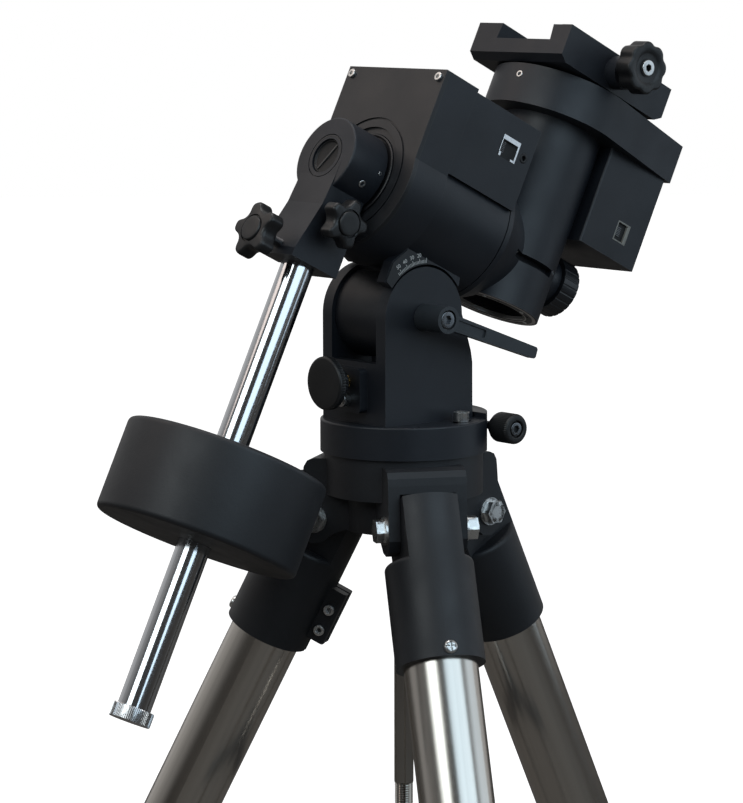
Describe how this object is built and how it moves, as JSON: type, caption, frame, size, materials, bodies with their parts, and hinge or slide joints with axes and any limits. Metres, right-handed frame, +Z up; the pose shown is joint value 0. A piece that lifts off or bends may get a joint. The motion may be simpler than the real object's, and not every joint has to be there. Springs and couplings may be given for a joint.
{
  "type": "equatorial mount",
  "caption": "Motorised equatorial telescope mount with dovetail saddle, polar housing in a fork, counterweight on a chromed bar, on a tripod with polished steel legs.",
  "frame": {"origin": "floor point under the middle of the object's bounding box", "axes": "+Z up, the polar axis rises towards -X, the socket and lever side faces -Y"},
  "size_m": [0.7264, 0.7996, 1.0872],
  "materials": {
    "black_coat": "satin black powder coat on machined aluminium",
    "black_plastic": "matt black moulded knob",
    "hard_chrome": "ground and chromed steel",
    "stainless": "polished stainless steel",
    "zinc": "zinc plated steel fastener",
    "brass": "turned brass",
    "rubber": "black rubber",
    "scale": "black plate with white graduation"
  },
  "bodies": {
    "tripod": {"tripod_head": "black_coat", "leg_pivot_bolts": "zinc", "centre_rod": "stainless", "base_screws": "zinc"},
    "spreader": {"spreader": "black_coat"},
    "spreader_knob": {"spreader_knob": "black_plastic"},
    "azimuth": {"azimuth_base": "black_coat", "fork": "black_coat", "latitude_axle": "zinc", "altitude_block_screw": "zinc"},
    "azimuth_knob_near": {"azimuth_knob_near": "black_plastic"},
    "azimuth_knob_far": {"azimuth_knob_far": "black_plastic"},
    "latitude_lever": {"latitude_lever": "black_coat"},
    "altitude_knob": {"altitude_knob": "black_plastic"},
    "ra_unit": {"ra_housing": "black_coat", "ra_front_cover": "black_coat", "cover_screws": "zinc", "ra_gearbox_cover": "black_coat", "ra_ports": "zinc", "latitude_scale": "scale", "ra_worm": "zinc"},
    "dec_unit": {"ra_shaft": "zinc", "ra_worm_wheel": "brass", "cw_holder": "black_coat", "dec_housing": "black_coat", "dec_bottom_ring": "black_coat", "dec_gear_case": "black_coat", "dec_motor_cover": "black_coat", "dec_worm": "zinc"},
    "polar_cap_front": {"polar_cap_front": "black_coat"},
    "polar_cap_rear": {"polar_cap_rear": "black_coat"},
    "star_knob_front": {"star_knob_front": "black_plastic"},
    "star_knob_side": {"star_knob_side": "black_plastic"},
    "cw_shaft": {"cw_shaft": "hard_chrome"},
    "shaft_end_cap": {"shaft_end_cap": "black_coat"},
    "counterweight": {"counterweight": "black_coat"},
    "counterweight_knob": {"counterweight_knob": "black_plastic"},
    "saddle": {"saddle": "black_coat", "dec_shaft": "zinc", "dec_worm_wheel": "brass"},
    "saddle_jaw": {"saddle_jaw": "black_coat"},
    "saddle_knob": {"saddle_knob": "black_plastic"},
    "leg_1": {"leg_cap_1": "black_coat", "leg_tube_upper_1": "stainless", "leg_clamp_1": "black_coat"},
    "lower_leg_1": {"leg_tube_lower_1": "stainless", "leg_foot_1": "rubber"},
    "leg_lock_knob_1": {"leg_lock_knob_1": "black_plastic"},
    "leg_2": {"leg_cap_2": "black_coat", "leg_tube_upper_2": "stainless", "leg_clamp_2": "black_coat"},
    "lower_leg_2": {"leg_tube_lower_2": "stainless", "leg_foot_2": "rubber"},
    "leg_lock_knob_2": {"leg_lock_knob_2": "black_plastic"},
    "leg_3": {"leg_cap_3": "black_coat", "leg_tube_upper_3": "stainless", "leg_clamp_3": "black_coat"},
    "lower_leg_3": {"leg_tube_lower_3": "stainless", "leg_foot_3": "rubber"},
    "leg_lock_knob_3": {"leg_lock_knob_3": "black_plastic"}
  },
  "joints": [
    {"name": "azimuth", "type": "hinge", "parent": "tripod", "child": "azimuth", "pos_m": [-0.09484, 0.01612, 0.85], "axis": [0, 0, 1], "range_deg": [-6, 6]},
    {"name": "azimuth_screw_near", "type": "hinge", "parent": "azimuth", "child": "azimuth_knob_near", "pos_m": [-0.05134, -0.01388, 0.844], "axis": [0, -1, 0], "continuous": true},
    {"name": "azimuth_screw_far", "type": "hinge", "parent": "azimuth", "child": "azimuth_knob_far", "pos_m": [-0.05134, 0.04612, 0.844], "axis": [0, 1, 0], "continuous": true},
    {"name": "latitude", "type": "hinge", "parent": "azimuth", "child": "ra_unit", "pos_m": [-0.10384, 0.01612, 0.914], "axis": [0, 1, 0], "range_deg": [-3, 14]},
    {"name": "latitude_lock", "type": "hinge", "parent": "azimuth", "child": "latitude_lever", "pos_m": [-0.10384, -0.02388, 0.914], "axis": [0, 1, 0], "range_deg": [0, 30]},
    {"name": "altitude_screw", "type": "slide", "parent": "azimuth", "child": "altitude_knob", "axis": [-1, 0, 0], "range_m": [-0.0023, 0.0105]},
    {"name": "right_ascension", "type": "hinge", "parent": "ra_unit", "child": "dec_unit", "pos_m": [-0.09484, 0.01612, 0.9819], "axis": [-0.8979, 0, 0.4403], "range_deg": [-90, 90]},
    {"name": "declination", "type": "hinge", "parent": "dec_unit", "child": "saddle", "pos_m": [0.0384, 0.01612, 1.04465], "axis": [0.4403, 0, 0.8979], "continuous": true},
    {"name": "saddle_jaw", "type": "slide", "parent": "saddle", "child": "saddle_jaw", "axis": [0, 1, 0], "range_m": [0, 0.004]},
    {"name": "saddle_clamp", "type": "hinge", "parent": "saddle", "child": "saddle_knob", "pos_m": [0.04369, -0.03388, 1.06044], "axis": [0, -1, 0], "range_deg": [0, 1080]},
    {"name": "polar_cap_front", "type": "hinge", "parent": "dec_unit", "child": "polar_cap_front", "pos_m": [-0.14871, 0.01612, 1.00832], "axis": [-0.8979, 0, 0.4403], "continuous": true},
    {"name": "polar_cap_rear", "type": "hinge", "parent": "dec_unit", "child": "polar_cap_rear", "pos_m": [0.02638, 0.01612, 0.92247], "axis": [0.8979, 0, -0.4403], "continuous": true},
    {"name": "star_screw_front", "type": "hinge", "parent": "dec_unit", "child": "star_knob_front", "pos_m": [-0.19326, 0.01612, 0.96289], "axis": [-0.8979, 0, 0.4403], "continuous": true},
    {"name": "star_screw_side", "type": "hinge", "parent": "dec_unit", "child": "star_knob_side", "pos_m": [-0.16373, -0.00388, 0.97336], "axis": [0, -1, 0], "continuous": true},
    {"name": "shaft_slide", "type": "slide", "parent": "dec_unit", "child": "cw_shaft", "axis": [-0.4403, 0, -0.8979], "range_m": [0, 0.04]},
    {"name": "end_cap", "type": "hinge", "parent": "cw_shaft", "child": "shaft_end_cap", "pos_m": [-0.30021, 0.01612, 0.69502], "axis": [-0.4403, 0, -0.8979], "continuous": true},
    {"name": "weight_slide", "type": "slide", "parent": "cw_shaft", "child": "counterweight", "axis": [-0.4403, 0, -0.8979], "range_m": [-0.04, 0.098]},
    {"name": "weight_lock", "type": "hinge", "parent": "counterweight", "child": "counterweight_knob", "pos_m": [-0.24137, 0.07612, 0.81502], "axis": [0, 1, 0], "continuous": true},
    {"name": "leg_fold_1", "type": "hinge", "parent": "tripod", "child": "leg_1", "pos_m": [-0.11678, -0.02935, 0.78852], "axis": [0.9006, -0.4346, 0], "range_deg": [0, 22]},
    {"name": "leg_extension_1", "type": "slide", "parent": "leg_1", "child": "lower_leg_1", "axis": [-0.1932, -0.4004, -0.8957], "range_m": [-0.15, 0.17]},
    {"name": "leg_lock_1", "type": "hinge", "parent": "leg_1", "child": "leg_lock_knob_1", "pos_m": [-0.25503, -0.31584, 0.21516], "axis": [-0.3893, -0.8067, 0.4446], "continuous": true},
    {"name": "leg_fold_2", "type": "hinge", "parent": "tripod", "child": "leg_2", "pos_m": [-0.12324, 0.05785, 0.78852], "axis": [-0.8267, -0.5627, 0], "range_deg": [0, 22]},
    {"name": "leg_extension_2", "type": "slide", "parent": "leg_2", "child": "lower_leg_2", "axis": [-0.2502, 0.3676, -0.8957], "range_m": [-0.15, 0.17]},
    {"name": "leg_lock_2", "type": "hinge", "parent": "leg_2", "child": "leg_lock_knob_2", "pos_m": [-0.30223, 0.32083, 0.21516], "axis": [-0.504, 0.7405, 0.4446], "continuous": true},
    {"name": "leg_fold_3", "type": "hinge", "parent": "tripod", "child": "leg_3", "pos_m": [-0.04449, 0.01985, 0.78852], "axis": [-0.0739, 0.9973, 0], "range_deg": [0, 22]},
    {"name": "leg_extension_3", "type": "slide", "parent": "leg_3", "child": "lower_leg_3", "axis": [0.4434, 0.0329, -0.8957], "range_m": [-0.15, 0.17]},
    {"name": "leg_lock_3", "type": "hinge", "parent": "leg_3", "child": "leg_lock_knob_3", "pos_m": [0.27274, 0.04337, 0.21516], "axis": [0.8933, 0.0662, 0.4446], "continuous": true},
    {"name": "spreader_turn", "type": "hinge", "parent": "tripod", "child": "spreader", "pos_m": [-0.09484, 0.01612, 0.548], "axis": [0, 0, 1], "range_deg": [-50, 0]},
    {"name": "spreader_screw", "type": "hinge", "parent": "tripod", "child": "spreader_knob", "pos_m": [-0.09484, 0.01612, 0.54], "axis": [0, 0, 1], "continuous": true}
  ],
  "couplings": [
    {"joint": "altitude_screw", "follows": "latitude", "m_per_rad": 0.042}
  ]
}
